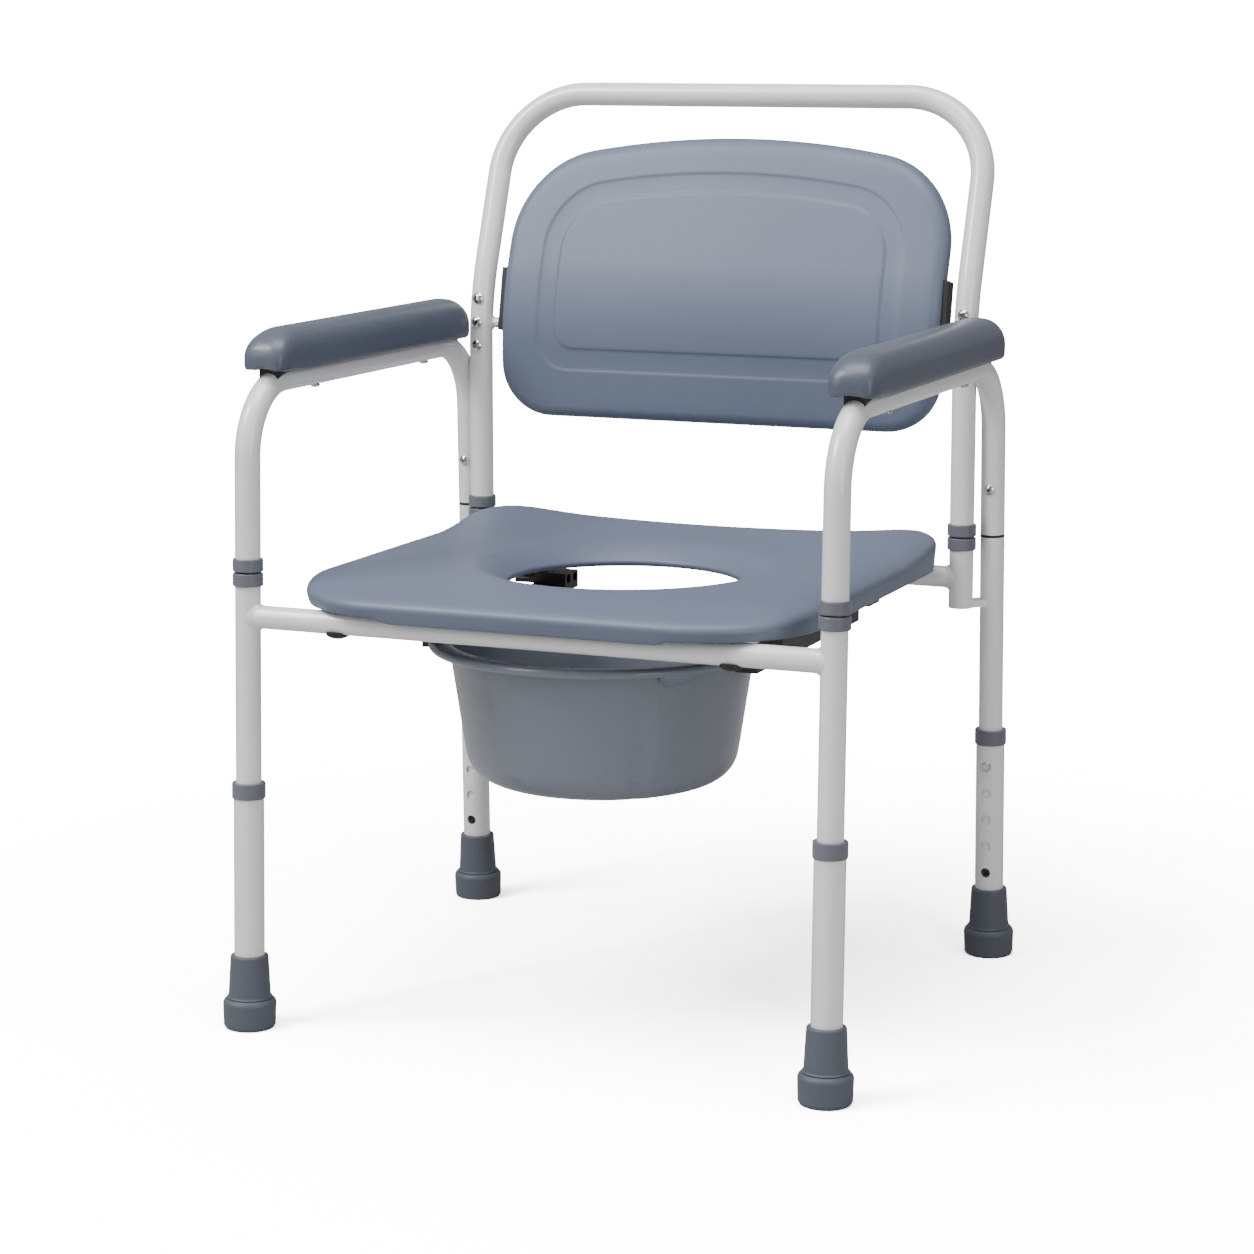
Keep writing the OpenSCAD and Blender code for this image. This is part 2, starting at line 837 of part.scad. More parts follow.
// Front view of the panel: round lower corners, large upper corners and a crowned top,
// with arcs that meet without a corner. Everything is drawn smaller by an inset.
module panel_outline(inset) {
  half = panel_w / 2 - inset;
  low = panel_low + inset;
  rl = panel_corner_low - inset;
  rh = panel_corner_high - inset;
  crown = panel_crown - inset;
  crown_z = panel_high - panel_crown;
  corner_x = half - rh;
  corner_z = crown_z + sqrt(pow(crown - rh, 2) - pow(corner_x, 2));
  tip = [corner_x * crown / (crown - rh), (corner_z - crown_z) * crown / (crown - rh)];
  union() {
    translate([-half, low + rl]) square([2 * half, corner_z - low - rl]);
    translate([-half + rl, low]) square([2 * (half - rl), rl + over]);
    for (s = SIDES) {
      translate([s * (half - rl), low + rl]) circle(r = rl);
      translate([s * corner_x, corner_z]) circle(r = rh);
    }
    translate([0, crown_z])
      intersection() {
        circle(r = crown, $fn = 360);
        polygon([[0, 0], 1.2 * tip, [-1.2 * tip[0], 1.2 * tip[1]]]);
        translate([-half, corner_z - crown_z - over]) square([2 * half, 2 * rh]);
      }
  }
}

module panel_solid(near, far, inset) {
  intersection() {
    translate([-post_x, hoop_y, 0])
      rotate([90, 0, 90]) linear_extrude(post_spacing) back_slab(near, far);
    translate([0, hoop_y + 200, 0]) rotate([90, 0, 0]) linear_extrude(400) panel_outline(inset);
  }
}

// Clamp blocks: half length, inner and outer x, front and rear set-back from the hoop's axis
clamp_half = 30;
clamp_in = 194;
clamp_out = 222.5;
clamp_near = -2;
clamp_far = 15;
clamp_z = 601;
clamp_screw_dz = [-8, 18];
clamp_screw_x = 206;

module clamp_block(play) {
  on_upright(0, clamp_z)
    translate([clamp_in - play, clamp_near - play, -clamp_half - play])
      cube([clamp_out - clamp_in + 2 * play, clamp_far - clamp_near + 2 * play, 2 * (clamp_half + play)]);
}

module clamp_screw_places() {
  both_sides()
    for (dz = clamp_screw_dz)
      on_upright(0, clamp_z)
        translate([clamp_screw_x, clamp_far, dz]) rotate([90, 0, 0]) children();
}

module backrest_panel() {
  front = -panel_t / 2;
  color(BLUE_GREY)
    difference() {
      panel_solid(front, panel_t / 2, 0);
      difference() {
        panel_solid(front + panel_wall, panel_t, panel_wall);
        clamp_screw_places() cylinder(h = clamp_far - clamp_near + 5, r = 5);
      }
      both_sides() clamp_block(0.3);
      back_bar(back_bar_r + 0.3);
      clamp_screw_places() cylinder(h = clamp_far - clamp_near + 3.5, r = 1.9);
    }
}

module back_clamps() {
  color(BLACK)
    difference() {
      both_sides() clamp_block(0);
      back_bar(back_bar_r);
      clamp_screw_places() translate([0, 0, -over]) cylinder(h = 30, r = 1.9);
    }
}

module back_clamp_screws() {
  color(STEEL) clamp_screw_places() button_screw([1.9, 3.8, 2.2], clamp_far - clamp_near + 3);
}

// ---------------------------------------------------------------- sliding legs

leg_r = leg_d / 2;
leg_bore = leg_r - tube_wall;
// The snap button's face stands proud of the leg, and it can sink until it is flush
button_r = hole_d / 2 - 0.1;
button_back = leg_r - 0.25;
button_front = leg_r + 1.8;

module lower_leg(side, row) {
  top = collar_top - 2;
  color(COAT)
    on_post(side, row)
      difference() {
        translate([0, 0, leg_low]) pipe(leg_r, leg_bore, top - leg_low);
        for (i = [0:1:hole_count - 1])
          translate([0, 0, button_z - i * hole_pitch]) facing(row) cylinder(h = 2 * leg_r, r = hole_d / 2);
      }
}

// Plastic collar: a cap over the leg's top edge and a sleeve that guides the post
module leg_collar(side, row) {
  rim = 1;
  sleeve = 26;
  color(RING_GREY)
    on_post(side, row)
      difference() {
        translate([0, 0, collar_top - sleeve])
          union() {
            pipe(leg_bore, tube_r + slide_play, sleeve);
            translate([0, 0, sleeve - collar_h])
              rotate_extrude()
                polygon(concat(
                  [[tube_r + slide_play, 0]],
                  arc(collar_d / 2 - rim, rim, rim, -90, 0, 4),
                  arc(collar_d / 2 - rim, collar_h - rim, rim, 0, 90, 4),
                  [[tube_r + slide_play, collar_h]]
                ));
          }
        translate([0, 0, leg_low]) pipe(leg_r, leg_bore, collar_top - 2 - leg_low);
      }
}

// Rubber foot: a wide round-edged tread below a slightly tapered sleeve, cut flat on the floor
module foot(side, row) {
  r = foot_d / 2;
  tread = 26;
  lip_r = 16.6;
  waist_r = 18.6;
  color(RUBBER_GREY)
    difference() {
      on_post(side, row)
        difference() {
          rotate_extrude()
            polygon(concat(
              [[0, -2]],
              [[r - 3, -2], [r - 0.6, 2.4]],
              arc(r - 5, tread - 5, 5, 0, 80, 6),
              arc(waist_r + 1.6, tread + 2.4, 1.8, -95, -180, 4),
              arc(lip_r - 2, foot_h - 2, 2, 0, 90, 5),
              [[0, foot_h]]
            ));
          translate([0, 0, leg_low]) cylinder(h = foot_h, r = leg_r);
        }
      translate([side * post_x, post_y(row, 0), -20]) cylinder(h = 20, r = 2 * r);
      for (groove = [8, 13, 18])
        translate([side * post_x, post_y(row, 0), -over]) pipe(groove, groove - 1.5, over + 1);
    }
}

module snap_button(side, row) {
  edge = 1.2;
  color(STEEL)
    on_post(side, row)
      translate([0, 0, button_z])
        facing(row)
          rotate_extrude()
            polygon(concat(
              [[0, button_back], [button_r, button_back]],
              arc(button_r - edge, button_front - edge, edge, 0, 70, 4),
              [[0, button_front]]
            ));
}

// Rings on the posts' lower ends that run in the legs
module post_guide_bushes() {
  color(RING_GREY)
    for (side = SIDES, row = ROWS)
      on_post(side, row)
        translate([0, 0, post_low + 0.5]) pipe(leg_bore - 2 * slide_play, tube_r, 7);
}

// Spring strip in each post, with the stem that stands behind the snap button
module button_springs() {
  strip = 0.8;
  strip_w = 6;
  strip_h = 34;
  set = 7.4;
  color(STEEL)
    for (side = SIDES, row = ROWS)
      on_post(side, row)
        translate([0, 0, button_z])
          union() {
            for (s = [-1, 1])
              translate([-strip_w / 2, s * set - strip / 2, -strip_h + 6]) cube([strip_w, strip, strip_h]);
            translate([0, 0, 6 - strip_h])
              rotate([0, 90, 0])
                difference() {
                  cylinder(h = strip_w, r = set + strip / 2, center = true);
                  cylinder(h = strip_w + over, r = set - strip / 2, center = true);
                  translate([-2 * set, 0, 0]) cube([4 * set, 4 * set, 4 * set], center = true);
                }
            facing(row) translate([0, 0, set]) cylinder(h = tube_r - 0.4 - set, r = hole_d / 2 - 0.3);
          }
}

front_crossbar();
seat_rail(LEFT);  // seat_rail_left
seat_rail(RIGHT);  // seat_rail_right
post(LEFT, FRONT);  // post_front_left
post(RIGHT, FRONT);  // post_front_right
post(LEFT, REAR);  // post_rear_left
post(RIGHT, REAR);  // post_rear_right
hoop_receiver(LEFT);  // hoop_receiver_left
hoop_receiver(RIGHT);  // hoop_receiver_right
receiver_link_plates();
tube_end_rings();
rear_joint_washers();
arm_front_spigots();
arm_rear_spigots();
arm_tube(LEFT);  // arm_tube_left
arm_tube(RIGHT);  // arm_tube_right
arm_pad(LEFT);  // arm_pad_left
arm_pad(RIGHT);  // arm_pad_right
arm_pad_base(LEFT);  // arm_pad_base_left
arm_pad_base(RIGHT);  // arm_pad_base_right
arm_pad_screws();
arm_bolts();
seat();
seat_screws();
seat_screw_caps();
pail_rail(LEFT);  // pail_rail_left
pail_rail(RIGHT);  // pail_rail_right
pail_rail_hangers();
pail_rail_rivets();
post_guide_bushes();
button_springs();
hoop();
hoop_spigots();
hoop_end_rings();
hoop_stiffeners();
back_crossbar();
backrest_panel();
back_clamps();
back_bolts();
back_clamp_screws();
pail();
lower_leg(LEFT, FRONT);  // leg_front_left
lower_leg(RIGHT, FRONT);  // leg_front_right
lower_leg(LEFT, REAR);  // leg_rear_left
lower_leg(RIGHT, REAR);  // leg_rear_right
leg_collar(LEFT, FRONT);  // collar_front_left
leg_collar(RIGHT, FRONT);  // collar_front_right
leg_collar(LEFT, REAR);  // collar_rear_left
leg_collar(RIGHT, REAR);  // collar_rear_right
foot(LEFT, FRONT);  // foot_front_left
foot(RIGHT, FRONT);  // foot_front_right
foot(LEFT, REAR);  // foot_rear_left
foot(RIGHT, REAR);  // foot_rear_right
snap_button(LEFT, FRONT);  // button_front_left
snap_button(RIGHT, FRONT);  // button_front_right
snap_button(LEFT, REAR);  // button_rear_left
snap_button(RIGHT, REAR);  // button_rear_right
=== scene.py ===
"""Looks of the commode chair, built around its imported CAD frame. Metres, +Z up, -Y is the front."""

import json
import math

import bpy
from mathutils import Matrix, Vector


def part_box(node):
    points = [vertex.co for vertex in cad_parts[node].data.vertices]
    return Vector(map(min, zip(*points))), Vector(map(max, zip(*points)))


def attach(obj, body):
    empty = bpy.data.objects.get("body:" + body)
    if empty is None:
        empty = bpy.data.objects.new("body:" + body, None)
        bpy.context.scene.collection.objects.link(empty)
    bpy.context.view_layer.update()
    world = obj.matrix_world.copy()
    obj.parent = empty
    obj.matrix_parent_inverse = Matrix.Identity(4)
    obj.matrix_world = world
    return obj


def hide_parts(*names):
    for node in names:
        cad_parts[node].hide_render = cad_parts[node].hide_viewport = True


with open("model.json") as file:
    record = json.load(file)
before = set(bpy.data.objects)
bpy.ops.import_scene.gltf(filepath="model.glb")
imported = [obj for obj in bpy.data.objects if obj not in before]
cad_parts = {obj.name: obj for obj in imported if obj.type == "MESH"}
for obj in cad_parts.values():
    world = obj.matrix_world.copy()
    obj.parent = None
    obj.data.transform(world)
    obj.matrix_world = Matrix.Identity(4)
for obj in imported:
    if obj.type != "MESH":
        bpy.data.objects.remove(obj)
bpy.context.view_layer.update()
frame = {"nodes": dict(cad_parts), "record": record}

MM = 0.001
TINY = 1e-9
# The sign of x on each side
SIDES = {"left": -1, "right": 1}
# Brightness of the backdrop, and of the floor near the chair, as the camera sees them
BACKDROP = 17
FLOOR_GAIN = 9.2

# ------------------------------------------------------------------ places taken from the frame


def node_box(name):
    """Lowest corner, highest corner and centre of a CAD node."""
    low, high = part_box(name)
    return low, high, (low + high) / 2


SEAT_LOW, SEAT_HIGH = node_box("seat")[:2]
PAIL_LOW, PAIL_HIGH, PAIL_MID = node_box("pail")
PANEL_LOW, PANEL_HIGH = node_box("backrest_panel")[:2]
BAR_LOW, BAR_HIGH, BAR_MID = node_box("front_crossbar")
RECEIVER_LOW, RECEIVER_HIGH, RECEIVER_MID = node_box("hoop_receiver_right")
BACK_BAR_LOW, BACK_BAR_HIGH, BACK_BAR_MID = node_box("back_crossbar")

TUBE_R = (RECEIVER_HIGH.x - RECEIVER_LOW.x) / 2
RAIL_R = (BAR_HIGH.z - BAR_LOW.z) / 2
BACK_BAR_R = (BACK_BAR_HIGH.z - BACK_BAR_LOW.z) / 2
POST_X = node_box("post_front_right")[2].x
RAIL_X = node_box("seat_rail_right")[0].x + RAIL_R
HOOP_X = RECEIVER_MID.x
HOOP_Y = RECEIVER_MID.y
FRONT_Y = BAR_MID.y
BAR_Z = BAR_MID.z

# The hoop and the panel bend back above this height, on this radius, to this lean
BEND_Z = 556 * MM
BEND_R = 230 * MM
LEAN = math.radians(20.5)

# ------------------------------------------------------------------ mesh tools


def add_mesh(name, verts, faces, material, body, replaces=()):
    """A smooth-shaded mesh piece that rides on a CAD body."""
    mesh = bpy.data.meshes.new(name)
    mesh.from_pydata([tuple(v) for v in verts], [], faces)
    mesh.update()
    mesh.shade_smooth()
    piece = bpy.data.objects.new(name, mesh)
    bpy.context.scene.collection.objects.link(piece)
    mesh.materials.append(material)
    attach(piece, body)
    if replaces:
        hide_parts(*replaces)
    return piece


def turned(faces):
    """The same faces, looking the other way."""
    return [face[::-1] for face in faces]


def loft(rings, close_rings=False, cap_start=False, cap_end=False):
    """Vertices and faces of a skin over closed rings, all with the same number of points."""
    count = len(rings[0])
    verts = [p for ring in rings for p in ring]
    faces = []
    last = len(rings) if close_rings else len(rings) - 1
    for i in range(last):
        a, b = i * count, ((i + 1) % len(rings)) * count
        for k in range(count):
            n = (k + 1) % count
            faces.append((a + k, a + n, b + n, b + k))
    ends = ((cap_start, rings[0], 0), (cap_end, rings[-1], (len(rings) - 1) * count))
    for cap, ring, first in ends:
        if not cap:
            continue
        middle = sum((Vector(p) for p in ring), Vector()) / count
        verts.append(middle)
        centre = len(verts) - 1
        for k in range(count):
            n = (k + 1) % count
            tri = (first + k, first + n, centre)
            faces.append(tri[::-1] if first == 0 else tri)
    return verts, faces


def smoothstep(x, low, high):
    """Soft step from 0 at low to 1 at high. With low above high it falls as x grows."""
    t = min(max((x - low) / (high - low), 0.0), 1.0)
    return t * t * (3 - 2 * t)


def mix(a, b, t):
    """The value at a share t of the way from a to b."""
    return a + (b - a) * t


def arc_points(x, y, r, start, end, steps):
    """Points of an arc, angles in degrees, both ends included."""
    out = []
    for i in range(steps + 1):
        a = math.radians(start + (end - start) * i / steps)
        out.append((x + r * math.cos(a), y + r * math.sin(a)))
    return out


def line_points(start, end, steps):
    """Points of a line, its first end included and its last left out."""
    return [(mix(start[0], end[0], i / steps), mix(start[1], end[1], i / steps)) for i in range(steps)]


# ------------------------------------------------------------------ materials


def node_material(name):
    """A new node material, with its nodes, its links and its main shader."""
    material = bpy.data.materials.new(name)
    material.use_nodes = True
    tree = material.node_tree
    return material, tree.nodes, tree.links, tree.nodes["Principled BSDF"]


def noise(nodes, links, scale, detail=2.0, roughness=0.5, stretch=(1, 1, 1)):
    """A noise texture in the object's own space. Scale is in waves per metre."""
    place = nodes.new("ShaderNodeTexCoord")
    mapping = nodes.new("ShaderNodeMapping")
    mapping.inputs["Scale"].default_value = stretch
    texture = nodes.new("ShaderNodeTexNoise")
    texture.inputs["Scale"].default_value = scale
    texture.inputs["Detail"].default_value = detail
    texture.inputs["Roughness"].default_value = roughness
    links.new(place.outputs["Object"], mapping.inputs["Vector"])
    links.new(mapping.outputs["Vector"], texture.inputs["Vector"])
    return texture.outputs["Fac"]


def ramp(nodes, links, source, stops):
    """A colour ramp driven by source. Stops are (place, colour)."""
    node = nodes.new("ShaderNodeValToRGB")
    links.new(source, node.inputs["Fac"])
    elements = node.color_ramp.elements
    while len(elements) < len(stops):
        elements.new(0.5)
    for element, (place, colour) in zip(elements, stops):
        element.position = place
        element.color = (*colour, 1)
    return node.outputs["Color"]


def grey(value):
    """A grey colour."""
    return (value, value, value)


def scaled(colour, factor):
    """A colour made darker or lighter."""
    return tuple(min(c * factor, 1.0) for c in colour)


def bump(nodes, links, shader, layers):
    """Stacked bumps: each layer is (height source, strength, distance in metres)."""
    previous = None
    for source, strength, distance in layers:
        node = nodes.new("ShaderNodeBump")
        node.inputs["Strength"].default_value = strength
        node.inputs["Distance"].default_value = distance
        links.new(source, node.inputs["Height"])
        if previous is not None:
            links.new(previous, node.inputs["Normal"])
        previous = node.outputs["Normal"]
    links.new(previous, shader.inputs["Normal"])


def edge_highlight(nodes, links, colour_out, highlight_colour, amount):
    """Paints a highlight on convex edges: mixes a lighter colour in by the geometry's pointiness."""
    geometry = nodes.new("ShaderNodeNewGeometry")
    highlight_mask = ramp(nodes, links, geometry.outputs["Pointiness"], [(0.52, grey(0)), (0.62, grey(amount))])
    blend = nodes.new("ShaderNodeMix")
    blend.data_type = "RGBA"
    links.new(highlight_mask, blend.inputs["Factor"])
    links.new(colour_out, blend.inputs["A"])
    blend.inputs["B"].default_value = (*highlight_colour, 1)
    return blend.outputs["Result"]


def powder_coat():
    """Pale warm grey powder coat: faint orange peel and a slight drift in tone."""
    colour = (0.87, 0.868, 0.858)
    material, nodes, links, shader = node_material("powder_coat")
    cloud = noise(nodes, links, 7, 3)
    peel = noise(nodes, links, 900, 2, 0.6)
    fleck = noise(nodes, links, 2600, 1)
    tone = ramp(nodes, links, cloud, [(0.3, scaled(colour, 0.965)), (0.7, scaled(colour, 1.02))])
    # Painted highlight: convex edges are mixed towards a lighter tone by pointiness
    links.new(edge_highlight(nodes, links, tone, scaled(colour, 1.08), 0.5), shader.inputs["Base Color"])
    rough = ramp(nodes, links, fleck, [(0.3, grey(0.26)), (0.7, grey(0.34))])
    links.new(rough, shader.inputs["Roughness"])
    shader.inputs["Specular IOR Level"].default_value = 0.55
    shader.inputs["Coat Weight"].default_value = 0.8
    shader.inputs["Coat Roughness"].default_value = 0.12
    bump(nodes, links, shader, [(peel, 0.10, 0.00012), (fleck, 0.06, 0.00003)])
    return material


def moulded_plastic(name, colour, rough=0.42, grain=0.22, coat=0.0):
    """Satin injection-moulded plastic with a fine pebble grain and soft flow marks."""
    material, nodes, links, shader = node_material(name)
    cloud = noise(nodes, links, 5, 3)
    pebble = noise(nodes, links, 950, 2, 0.6)
    coarse = noise(nodes, links, 420, 2)
    tone = ramp(nodes, links, cloud, [(0.3, scaled(colour, 0.95)), (0.7, scaled(colour, 1.05))])
    # Painted highlight: convex edges are mixed towards a colour 35% lighter by pointiness
    links.new(edge_highlight(nodes, links, tone, scaled(colour, 1.35), 0.45), shader.inputs["Base Color"])
    links.new(ramp(nodes, links, pebble, [(0.3, grey(rough - 0.05)), (0.7, grey(rough + 0.06))]),
              shader.inputs["Roughness"])
    shader.inputs["Specular IOR Level"].default_value = 0.5
    shader.inputs["Coat Weight"].default_value = coat
    shader.inputs["Coat Roughness"].default_value = 0.16
    bump(nodes, links, shader, [(pebble, grain, 0.00018), (coarse, grain * 0.5, 0.00018)])
    return material


def plated_steel():
    """Bright plating with fine turning marks, with painted shade darkening its hollows and a painted
    highlight on its convex edges.
    """
    material, nodes, links, shader = node_material("plated_steel")
    brush = noise(nodes, links, 900, 2, 0.5, (1, 1, 6))
    geometry = nodes.new("ShaderNodeNewGeometry")
    # Painted shade in the hollows and painted highlight on convex edges, by pointiness
    hollow_shade_edge_highlight = ramp(nodes, links, geometry.outputs["Pointiness"],
                  [(0.40, grey(0.04)), (0.50, grey(0.42)), (0.60, grey(0.90))])
    links.new(hollow_shade_edge_highlight, shader.inputs["Base Color"])
    links.new(ramp(nodes, links, brush, [(0.3, grey(0.10)), (0.7, grey(0.20))]), shader.inputs["Roughness"])
    shader.inputs["Metallic"].default_value = 1.0
    bump(nodes, links, shader, [(brush, 0.1, 0.00003)])
    return material


def camera_or_light(nodes, links, seen, lit, out):
    """Joins a bright shader for what the camera sees with a plain one for the light that bounces on."""
    path = nodes.new("ShaderNodeLightPath")
    join = nodes.new("ShaderNodeMixShader")
    links.new(path.outputs["Is Camera Ray"], join.inputs["Fac"])
    links.new(lit, join.inputs[1])
    links.new(seen, join.inputs[2])
    links.new(join.outputs["Shader"], out)


def floor_material():
    """White studio floor: shadows show near the chair, and farther out it turns to the backdrop's white."""
    material, nodes, links, shader = node_material("studio_floor")
    nodes.remove(shader)
    plain = nodes.new("ShaderNodeBsdfDiffuse")
    plain.inputs["Color"].default_value = (*grey(0.46), 1)
    near = nodes.new("ShaderNodeBsdfDiffuse")
    near.inputs["Color"].default_value = (*grey(FLOOR_GAIN), 1)
    far = nodes.new("ShaderNodeEmission")
    far.inputs["Strength"].default_value = BACKDROP
    place = nodes.new("ShaderNodeTexCoord")
    distance = nodes.new("ShaderNodeVectorMath")
    distance.operation = "LENGTH"
    links.new(place.outputs["Object"], distance.inputs[0])
    fade = nodes.new("ShaderNodeMapRange")
    fade.interpolation_type = "SMOOTHERSTEP"
    fade.inputs["From Min"].default_value = 0.25
    fade.inputs["From Max"].default_value = 1.3
    links.new(distance.outputs["Value"], fade.inputs["Value"])
    join = nodes.new("ShaderNodeMixShader")
    links.new(fade.outputs["Result"], join.inputs["Fac"])
    links.new(near.outputs["BSDF"], join.inputs[1])
    links.new(far.outputs["Emission"], join.inputs[2])
    camera_or_light(nodes, links, join.outputs["Shader"], plain.outputs["BSDF"],
                    nodes["Material Output"].inputs["Surface"])
    return material


MATERIALS = {
    "powder_coat": powder_coat(),
    "moulded_plastic": moulded_plastic("moulded_plastic", (0.124, 0.150, 0.216), 0.44, 0.30),
    "ring_plastic": moulded_plastic("ring_plastic", (0.142, 0.153, 0.178), 0.34, 0.12),
    "soft_grey": moulded_plastic("soft_grey", (0.088, 0.102, 0.138), 0.38, 0.30, 0.12),
    "black_plastic": moulded_plastic("black_plastic", (0.012, 0.012, 0.013), 0.40, 0.25),
    "foot_rubber": moulded_plastic("foot_rubber", (0.091, 0.105, 0.130), 0.52, 0.34),
    "plated_steel": plated_steel(),
    # The bare steel is painted near-black, standing in for the shade in the joint gaps where the spigots show
    "bare_steel": moulded_plastic("steel_painted_gap_shade", (0.03, 0.03, 0.032), 0.35, 0.1),
}
PAIL_MATERIAL = moulded_plastic("pail_plastic", (0.176, 0.196, 0.240), 0.32, 0.12, 0.5)

for part in frame["record"]["subparts"]:
    node = frame["nodes"][part["node"]]
    node.data.materials.clear()
    node.data.materials.append(MATERIALS[part["material_slot"]])

# ------------------------------------------------------------------ seat

OPENING_Y = FRONT_Y + 200 * MM
SEAT_HALF = (SEAT_HIGH.x - SEAT_LOW.x) / 2
SEAT_CORNER_FRONT = 96 * MM
SEAT_CORNER_REAR = 58 * MM
SEAT_FACE_Z = 392.0 * MM
SEAT_FOOT_Z = 372.0 * MM
SEAT_ROLL = 13 * MM
SEAT_WALL = 4 * MM
LIP_R = 103 * MM
FUNNEL_R = 127 * MM + 6 * MM
SEAT_POINTS = 256

# The rim's foot, from inside to outside: (inset from the outline, height over the rim's lower edge), mm
RIM_FOOT = [(3.6, 0.0), (2.7, 0.3), (2.3, 1.0), (1.9, 2.0)]
# The opening's lip, from the funnel's end down and under: (distance beyond the lip's radius, height), mm
LIP_EDGE = [(0.2, 377.0), (0.0, 375.6), (0.2, 374.0), (1.0, 372.8), (2.4, 372.4), (3.6, 372.8)]


def seat_edge(angle, inset):
    """Distance from the opening's centre to the seat's outline, drawn smaller by an inset."""
    dx, dy = abs(math.cos(angle)), math.sin(angle)
    half = SEAT_HALF - inset
    rearward = dy > 0
    if rearward:
        r = SEAT_CORNER_REAR - inset
        end = SEAT_HIGH.y - inset - OPENING_Y
        cy = end - r
    else:
        r = SEAT_CORNER_FRONT - inset
        end = SEAT_LOW.y + inset - OPENING_Y
        cy = end + r
    cx = half - r
    to_side = half / dx if dx > TINY else math.inf
    to_end = end / dy if abs(dy) > TINY else math.inf
    reach = min(to_side, to_end)
    past_corner = dy * reach > cy if rearward else dy * reach < cy
    if dx * reach > cx and past_corner:
        along = dx * cx + dy * cy
        across = cx * cx + cy * cy - r * r
        reach = along + math.sqrt(max(along * along - across, 0.0))
    return reach


def seat_height(x, y):
    """Height of the seat's upper face, before its edges roll over."""
    front_fall, side_rise = 3.6 * MM, 2.6 * MM
    rear_rise, corner_rise = 4.2 * MM, 5.2 * MM
    front = smoothstep(y - FRONT_Y, 75 * MM, -15 * MM)
    rear = smoothstep(y - FRONT_Y, 290 * MM, 415 * MM)
    side = smoothstep(abs(x), 120 * MM, 215 * MM) * (1 - front)
    corner = min(abs(x) / (180 * MM), 1.15) ** 2
    return SEAT_FACE_Z - front_fall * front + side_rise * side + (rear_rise + corner_rise * corner) * rear


def seat_rim(x, y):
    """Height of the seat's lower edge, with the shallow drop of the front skirt."""
    skirt_drop = 4.5 * MM
    front = smoothstep(y - SEAT_LOW.y, 40 * MM, 20 * MM)
    drop = smoothstep(abs(x), 131 * MM, 124 * MM)
    return SEAT_FOOT_Z - skirt_drop * front * drop


def seat_ring(reach, height):
    """Closed ring round the opening: its distance from the centre by angle, its height by place."""
    ring = []
    for k in range(SEAT_POINTS):
        angle = 2 * math.pi * k / SEAT_POINTS
        away = reach(angle)
        x, y = away * math.cos(angle), OPENING_Y + away * math.sin(angle)
        ring.append(Vector((x, y, height(x, y))))
    return ring


def round_ring(radius, height):
    """Seat ring at one distance from the opening's centre."""
    return seat_ring(lambda angle: radius, height)


def edge_ring(inset, height):
    """Seat ring along the seat's outline, drawn in by an inset."""
    return seat_ring(lambda angle: seat_edge(angle, inset), height)


def face_ring(share):
    """Ring of the upper face, from the funnel's start (0) to where the edge rolls over (1)."""
    return seat_ring(lambda angle: mix(FUNNEL_R, seat_edge(angle, SEAT_ROLL + 8 * MM), share), seat_height)


def level(z):
    """A height that is the same everywhere."""
    return lambda x, y: z


def above_rim(rise):
    """A height above the seat's lower edge."""
    return lambda x, y: seat_rim(x, y) + rise


def up_the_wall(share):
    """A height between the seat's lower edge and where the outer wall meets the roll."""
    return lambda x, y: mix(seat_rim(x, y), seat_height(x, y) - 9.3 * MM, share)


def seat_underside():
    """Rings from the opening's lip out under the seat, then down the rim's inner wall."""
    under = SEAT_HIGH.z - 10 * MM
    return [
        round_ring(LIP_R + SEAT_WALL, level(373.4 * MM)),
        round_ring(LIP_R + SEAT_WALL, level(375.4 * MM)),
        round_ring(LIP_R + SEAT_WALL + 1 * MM, level(380.0 * MM)),
        round_ring(FUNNEL_R, level(under - 1.5 * MM)),
        edge_ring(SEAT_ROLL + 10 * MM, level(under - 1.5 * MM)),
        edge_ring(SEAT_ROLL, level(under - 3.0 * MM)),
        edge_ring(SEAT_WALL + 2 * MM, level(378.0 * MM)),
        edge_ring(SEAT_WALL + 2.2 * MM, above_rim(1.0 * MM)),
        edge_ring(SEAT_WALL + 1.4 * MM, above_rim(0.2 * MM)),
    ]


def seat_outside():
    """Rings of the rim's foot, the outer wall that leans in towards it, and the round roll above."""
    rings = [edge_ring(inset * MM, above_rim(rise * MM)) for inset, rise in RIM_FOOT]
    rings.append(edge_ring(1.0 * MM, up_the_wall(0.55)))
    rings.append(edge_ring(0.3 * MM, up_the_wall(0.85)))
    steps = 12
    for i in range(steps + 1):
        a = math.pi / 2 * i / steps
        inset = (SEAT_ROLL + 3 * MM) * (1 - math.cos(a)) ** 1.05
        depth = 9 * MM * (1 - math.sin(a)) ** 1.1
        rings.append(edge_ring(inset, lambda x, y, d=depth: seat_height(x, y) - d - 0.25 * MM))
    return rings


def seat_funnel():
    """Rings of the soft funnel from the upper face down to the opening's lip."""
    rings = []
    steps = 12
    for i in range(1, steps + 1):
        t = i / steps
        radius = mix(FUNNEL_R, LIP_R + 1.2 * MM, t)
        fall = 14 * MM * (t ** 1.75)
        rings.append(round_ring(radius, lambda x, y, f=fall: seat_height(x, y) - f))
    rings += [round_ring(LIP_R + out * MM, level(z * MM)) for out, z in LIP_EDGE]
    return rings


